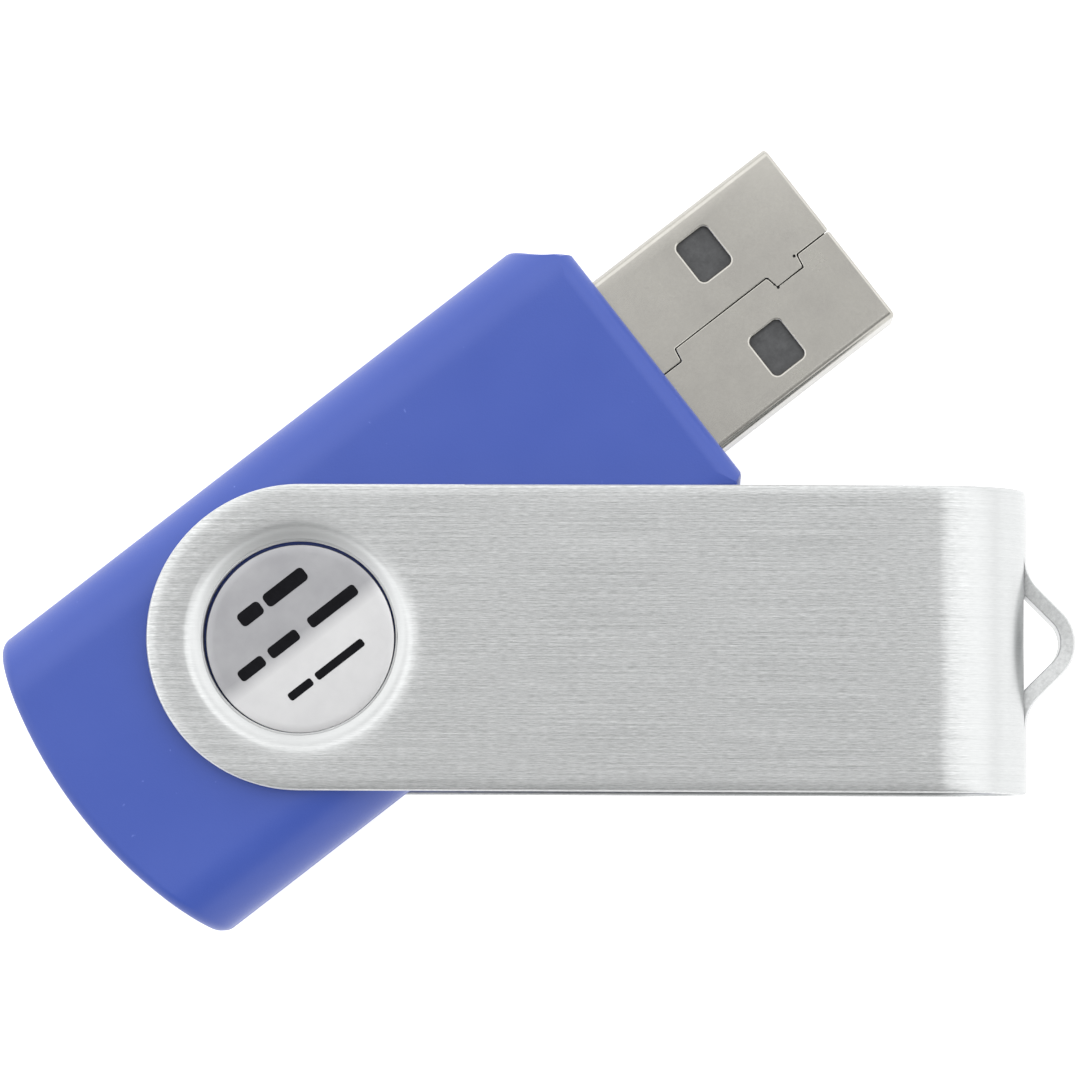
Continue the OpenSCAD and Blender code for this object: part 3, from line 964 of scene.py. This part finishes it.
class Surface(NodeTree):
    """A procedural material in the making, with the few kinds of node that the finishes need."""

    def __init__(self, name, colour, metallic, roughness):
        self.material = bpy.data.materials.new(name)
        super().__init__(self.material)
        self.shader = self.nodes["Principled BSDF"]
        self.shader.inputs["Base Color"].default_value = (*colour, 1)
        self.shader.inputs["Metallic"].default_value = metallic
        self.shader.inputs["Roughness"].default_value = roughness
        self.place = self.nodes.new("ShaderNodeTexCoord").outputs["Object"]

    def scaled(self, scale, source=None):
        """Coordinates times a scale, in periods for each millimetre."""
        node = self.nodes.new("ShaderNodeMapping")
        per_unit = 1 if source is not None else 1 / MM
        node.inputs["Scale"].default_value = [s * per_unit for s in scale]
        self.link(source or self.place, node.inputs["Vector"])
        return node.outputs["Vector"]

    def noise(self, coordinates, detail=3, roughness=0.6):
        node = self.nodes.new("ShaderNodeTexNoise")
        node.inputs["Scale"].default_value = 1
        node.inputs["Detail"].default_value = detail
        node.inputs["Roughness"].default_value = roughness
        self.link(coordinates, node.inputs["Vector"])
        return node.outputs["Fac"]

    def ramp(self, value, low, high, from_low=0.3, from_high=0.7):
        """The value, stretched evenly; the default range is what a noise mostly covers."""
        return self.map_range(value, (from_low, from_high), (low, high), "LINEAR")

    def attribute(self, name):
        node = self.nodes.new("ShaderNodeAttribute")
        node.attribute_name = name
        return node.outputs["Fac"]

    def tint(self, value, dark, light):
        """Base colour between two colours."""
        node = self.nodes.new("ShaderNodeMix")
        node.data_type = "RGBA"
        colours = [socket for socket in node.inputs if socket.type == "RGBA"]
        colours[0].default_value = (*dark, 1)
        colours[1].default_value = (*light, 1)
        self.link(value, node.inputs["Factor"])
        result = next(socket for socket in node.outputs if socket.type == "RGBA")
        self.link(result, self.shader.inputs["Base Color"])

    def rough(self, value):
        self.link(value, self.shader.inputs["Roughness"])

    def bump(self, value, depth):
        node = self.nodes.new("ShaderNodeBump")
        node.inputs["Distance"].default_value = depth
        self.link(value, node.inputs["Height"])
        self.link(node.outputs["Normal"], self.shader.inputs["Normal"])


def brushed_aluminium():
    """Aluminium brushed along the cover: smoother where it is pressed or bent, duller where sheared."""
    s = Surface("brushed_aluminium", (0.57, 0.58, 0.58), 1, 0.3)
    grain = s.nodes.new("ShaderNodeUVMap")
    grain.uv_map = "grain"
    long_lines = s.noise(s.scaled((0.09, 12, 1), grain.outputs["UV"]), 4, 0.75)
    short_lines = s.noise(s.scaled((1.8, 20, 1), grain.outputs["UV"]), 2, 0.7)
    lines = s.math("ADD", s.math("MULTIPLY", long_lines, 0.5), s.math("MULTIPLY", short_lines, 0.5))
    unbrushed = s.math("MAXIMUM", s.attribute("pressed"), s.attribute("sheared"))
    strength = s.ramp(unbrushed, 1, 0.1, 0, 1)
    torn = s.ramp(s.noise(s.scaled((5, 5, 5)), 3), -0.03, 0.23, 0, 1)
    torn = s.math("MULTIPLY", torn, s.attribute("sheared"))
    marks = s.math("ADD", 0.5, s.math("MULTIPLY", s.math("SUBTRACT", lines, 0.5), strength))
    marks = s.math("ADD", marks, torn)
    s.tint(s.ramp(marks, 0, 1, 0.36, 0.64), (0.38, 0.39, 0.39), (0.76, 0.77, 0.77))
    duller = s.math("MULTIPLY", s.attribute("sheared"), 0.28)
    duller = s.math("ADD", duller, s.math("MULTIPLY", s.attribute("pressed"), 0.09))
    s.rough(s.math("ADD", s.ramp(marks, 0.33, 0.27), duller))
    s.bump(marks, 0.012 * MM)
    tangent = s.nodes.new("ShaderNodeTangent")
    tangent.direction_type = "UV_MAP"
    tangent.uv_map = "grain"
    s.link(tangent.outputs["Tangent"], s.shader.inputs["Tangent"])
    s.shader.inputs["Anisotropic"].default_value = 0.8
    s.shader.inputs["Anisotropic Rotation"].default_value = 0.25
    return s.material


def housing_plastic():
    """Satin blue plastic with a fine spark-eroded grain and a few pale specks of dust."""
    s = Surface("housing_plastic", (0.037, 0.075, 0.335), 0, 0.42)
    cloud = s.noise(s.scaled((0.12, 0.12, 0.12)), 2)
    speck = s.noise(s.scaled((2.4, 2.4, 2.4)), 1)
    shade_of = s.math("ADD", s.ramp(cloud, 0, 0.12), s.ramp(speck, 0, 1, 0.79, 0.84))
    s.tint(shade_of, (0.0255, 0.062, 0.326), (0.088, 0.14, 0.46))
    fine = s.noise(s.scaled((9, 9, 9)), 3)
    s.rough(s.ramp(fine, 0.34, 0.42))
    s.bump(fine, 0.006 * MM)
    s.shader.inputs["Specular IOR Level"].default_value = 0.55
    return s.material


def disc_metal():
    """Smooth metal with a painted reflection: lighter over one half than over the other, along a soft line
    through the middle.
    """
    s = Surface("disc_metal", (0.7, 0.7, 0.71), 1, 0.36)
    across = s.nodes.new("ShaderNodeSeparateXYZ")
    s.link(s.place, across.inputs["Vector"])
    # Painted reflection: the base colour steps from dark to light across a soft line through the disc,
    # standing in for the studio's reflection, with a faint random cloud on top
    middle = (disc_low.y + disc_high.y) / 2 - 0.2 * MM
    side = s.ramp(across.outputs["Y"], 1, 0, middle - 0.5 * MM, middle + 0.5 * MM)
    cloud = s.noise(s.scaled((0.45, 0.45, 0.45)), 3)
    shade_of = s.math("ADD", s.math("MULTIPLY", side, 0.85), s.ramp(cloud, 0, 0.15))
    s.tint(shade_of, (0.34, 0.34, 0.355), (0.67, 0.67, 0.675))
    fine = s.noise(s.scaled((8, 8, 8)), 2)
    s.rough(s.ramp(fine, 0.33, 0.39))
    s.bump(fine, 0.002 * MM)
    return s.material


def plated(name, dark, light, roughness, speckle=1.5):
    """Bare or plated sheet metal, faintly clouded, with a fine rolled texture."""
    s = Surface(name, light, 1, roughness)
    cloud = s.noise(s.scaled((0.5, 0.5, 0.5)), 4, 0.7)
    fine = s.noise(s.scaled((speckle * 4, speckle * 4, speckle * 4)), 2)
    s.tint(s.math("ADD", s.ramp(cloud, 0, 0.7), s.ramp(fine, 0, 0.3)), dark, light)
    s.rough(s.ramp(cloud, roughness * 1.15, roughness * 0.85))
    s.bump(fine, 0.0015 * MM)
    return s.material


def moulded(name, dark, light, roughness, grain=6, specular=0.5):
    """A dull moulded or printed surface with a fine mottle."""
    s = Surface(name, light, 0, roughness)
    s.shader.inputs["Specular IOR Level"].default_value = specular
    mottle = s.noise(s.scaled((1.1, 1.1, 1.1)), 5, 0.75)
    fine = s.noise(s.scaled((grain, grain, grain)), 2)
    s.tint(s.math("ADD", s.ramp(mottle, 0, 0.75), s.ramp(fine, 0, 0.25)), dark, light)
    s.rough(s.ramp(fine, roughness * 0.9, roughness * 1.1))
    s.bump(fine, 0.008 * MM)
    return s.material


FINISHES = {
    "brushed_aluminium": brushed_aluminium(),
    "housing_plastic": housing_plastic(),
    "plug_plating": plated("plug_plating", (0.43, 0.42, 0.385), (0.51, 0.495, 0.46), 0.24),
    "disc_metal": disc_metal(),
    "print_ink": moulded("print_ink", (0.004, 0.004, 0.005), (0.008, 0.008, 0.01), 0.4, specular=0.05),
    "contact_gold": plated("contact_gold", (0.8, 0.56, 0.2), (0.9, 0.66, 0.27), 0.25),
    "tin": plated("tin", (0.6, 0.6, 0.6), (0.74, 0.74, 0.73), 0.35),
    "insulator_plastic": moulded("insulator_plastic", (0.028, 0.029, 0.031), (0.075, 0.077, 0.08), 0.5),
    "chip_epoxy": moulded("chip_epoxy", (0.012, 0.012, 0.013), (0.022, 0.022, 0.024), 0.55),
    "adhesive": moulded("adhesive", (0.5, 0.5, 0.47), (0.62, 0.62, 0.58), 0.6),
    "board_laminate": moulded("board_laminate", (0.01, 0.09, 0.035), (0.014, 0.12, 0.05), 0.35),
    "ceramic": moulded("ceramic", (0.3, 0.22, 0.14), (0.42, 0.31, 0.2), 0.5),
}


def finish_piece(obj, body, slot, replaced=None):
    """Gives a piece its finish and its body, and hides the CAD node that it stands for."""
    obj.data.materials.clear()
    obj.data.materials.append(FINISHES[slot])
    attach(obj, body)
    if replaced:
        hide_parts(replaced)


# ---- The pieces, each on its body ----

finish_piece(make_cover(), "cover", "brushed_aluminium", "swivel_cover")
upper, lower = make_housing()
for shell, node in ((upper, "top_housing"), (lower, "bottom_housing")):
    shade(shell)
    finish_piece(shell, "housing", "housing_plastic", node)
finish_piece(make_plug(), "housing", "plug_plating", "plug_shell")
for name, flip in (("top_disc", False), ("bottom_disc", True)):
    disc = make_disc(name + "_plate", flip)
    shade(disc)
    finish_piece(disc, "housing", "disc_metal", name)
disc_print = make_print("top_disc_print")
shade(disc_print)
finish_piece(disc_print, "housing", "print_ink")

for node in frame["nodes"].values():
    if not node.hide_render:
        own = node.data.materials[0].name.split(".")[0]
        node.data.materials[0] = FINISHES[own]

# ---- Studio: a pale floor, soft light all round, and the camera ----


def floor_paint():
    """White that stays white under this light, whatever stands on it."""
    s = Surface("floor_white", (0.5, 0.5, 0.5), 0, 0.8)
    s.rough(s.ramp(s.noise(s.scaled((0.2, 0.2, 0.2))), 0.75, 0.85))
    s.shader.inputs["Emission Color"].default_value = (1, 1, 1, 1)
    s.shader.inputs["Emission Strength"].default_value = 0.8
    return s.material


def add_floor():
    """A wide floor that the drive lies on."""
    floor = box("floor", (-FLOOR_HALF, -FLOOR_HALF, -FLOOR_T), (FLOOR_HALF, FLOOR_HALF, cad_low.z))
    floor.data.materials.append(floor_paint())


def add_camera():
    """A long lens almost straight above, turned so that the cover lies level."""
    data = bpy.data.cameras.new("camera")
    data.sensor_width = 36
    data.lens = LENS_MM
    camera = bpy.data.objects.new("camera", data)
    bpy.context.scene.collection.objects.link(camera)
    bpy.context.scene.camera = camera
    toward = TOWARD_CAMERA.normalized()
    right = (PICTURE_RIGHT - PICTURE_RIGHT.dot(toward) * toward).normalized()
    up = toward.cross(right)
    place = Matrix((right, up, toward)).transposed().to_4x4()
    place.translation = PICTURE_CENTRE + toward * CAMERA_AWAY
    camera.matrix_world = cover_frame @ place


class Sky(NodeTree):
    """The light from each direction, in the cover's frame.

    sideways is how far a direction leans along the cover, depth how far it leans across it, and height
    how far it points up.
    """

    def __init__(self, name):
        world = bpy.data.worlds.new(name)
        bpy.context.scene.world = world
        super().__init__(world)
        direction = self.nodes.new("ShaderNodeTexCoord").outputs["Generated"]
        turned = self.nodes.new("ShaderNodeMapping")
        turned.vector_type = "POINT"
        turned.inputs["Rotation"].default_value = (0, 0, -cover_angle)
        self.link(direction, turned.inputs["Vector"])
        split = self.nodes.new("ShaderNodeSeparateXYZ")
        self.link(turned.outputs["Vector"], split.inputs["Vector"])
        across, self.depth, self.height = split.outputs
        self.sideways = self.math("ABSOLUTE", across, 0)

    def step(self, value, ends, levels):
        """A smooth step from one level to another, between two ends."""
        return self.map_range(value, ends, levels, "SMOOTHSTEP")

    def low_down(self, heights, depths, sides):
        """1 low down on one side and 0 elsewhere; sides are the levels at the two depths."""
        low = self.step(self.height, heights, (1, 0))
        return self.math("MULTIPLY", low, self.step(self.depth, depths, sides))


def overhead_card(sky):
    """Where the grey card hangs: 1 straight above, over a wider part on the near side, and 0 round it."""
    nearness = sky.step(sky.depth, (-0.6, 0), (1, 0))
    reach = sky.math("SUBTRACT", sky.sideways, sky.math("MULTIPLY", nearness, 0.7))
    card = sky.step(reach, (0.1, 0.2), (1, 0))
    card = sky.math("MULTIPLY", card, sky.step(sky.depth, (0.12, 0.4), (1, 0)))
    return sky.math("MULTIPLY", card, sky.step(sky.height, (0.35, 0.6), (0, 1)))


def wall_light(sky):
    """The walls: dimmer on the near side and at the two ends, and brighter low down on the far side.

    Mirrored light from low on the far side is dimmed again, so that the cover keeps its grey there.
    """
    walls = sky.step(sky.math("ADD", sky.sideways, sky.depth), (-0.6, 0), WALL_LIGHT)
    near = sky.low_down((0.1, 0.45), (-0.6, -0.2), (1, 0))
    walls = sky.math("SUBTRACT", walls, sky.math("MULTIPLY", near, NEAR_DIM))
    walls = sky.math("SUBTRACT", walls, sky.step(sky.sideways, (0.85, 1), (0, END_DIM)))
    far = sky.low_down((0.15, 0.5), (0.2, 0.8), (0, 1))
    walls = sky.math("ADD", walls, sky.math("MULTIPLY", far, FAR_GAIN))
    mirrored_ray = sky.nodes.new("ShaderNodeLightPath").outputs["Is Glossy Ray"]
    far = sky.low_down((0.42, 0.62), (0.12, 0.45), (0, 1))
    dimmed = sky.math("MULTIPLY", sky.math("MULTIPLY", far, mirrored_ray), MIRROR_DIM)
    return sky.math("MULTIPLY", walls, sky.math("SUBTRACT", 1, dimmed))


def add_world():
    """Soft light from bright walls all round, and greyer light from a card straight above."""
    sky = Sky("studio")
    card = overhead_card(sky)
    card_light = sky.step(sky.depth, (-0.3, -0.04), CARD_LIGHT)
    lit = sky.math("MULTIPLY", sky.math("SUBTRACT", 1, card), wall_light(sky))
    light = sky.math("ADD", sky.math("MULTIPLY", card, card_light), lit)
    sky.link(light, sky.nodes["Background"].inputs["Color"])


add_floor()
add_camera()
add_world()
bpy.context.scene.view_settings.view_transform = "Standard"
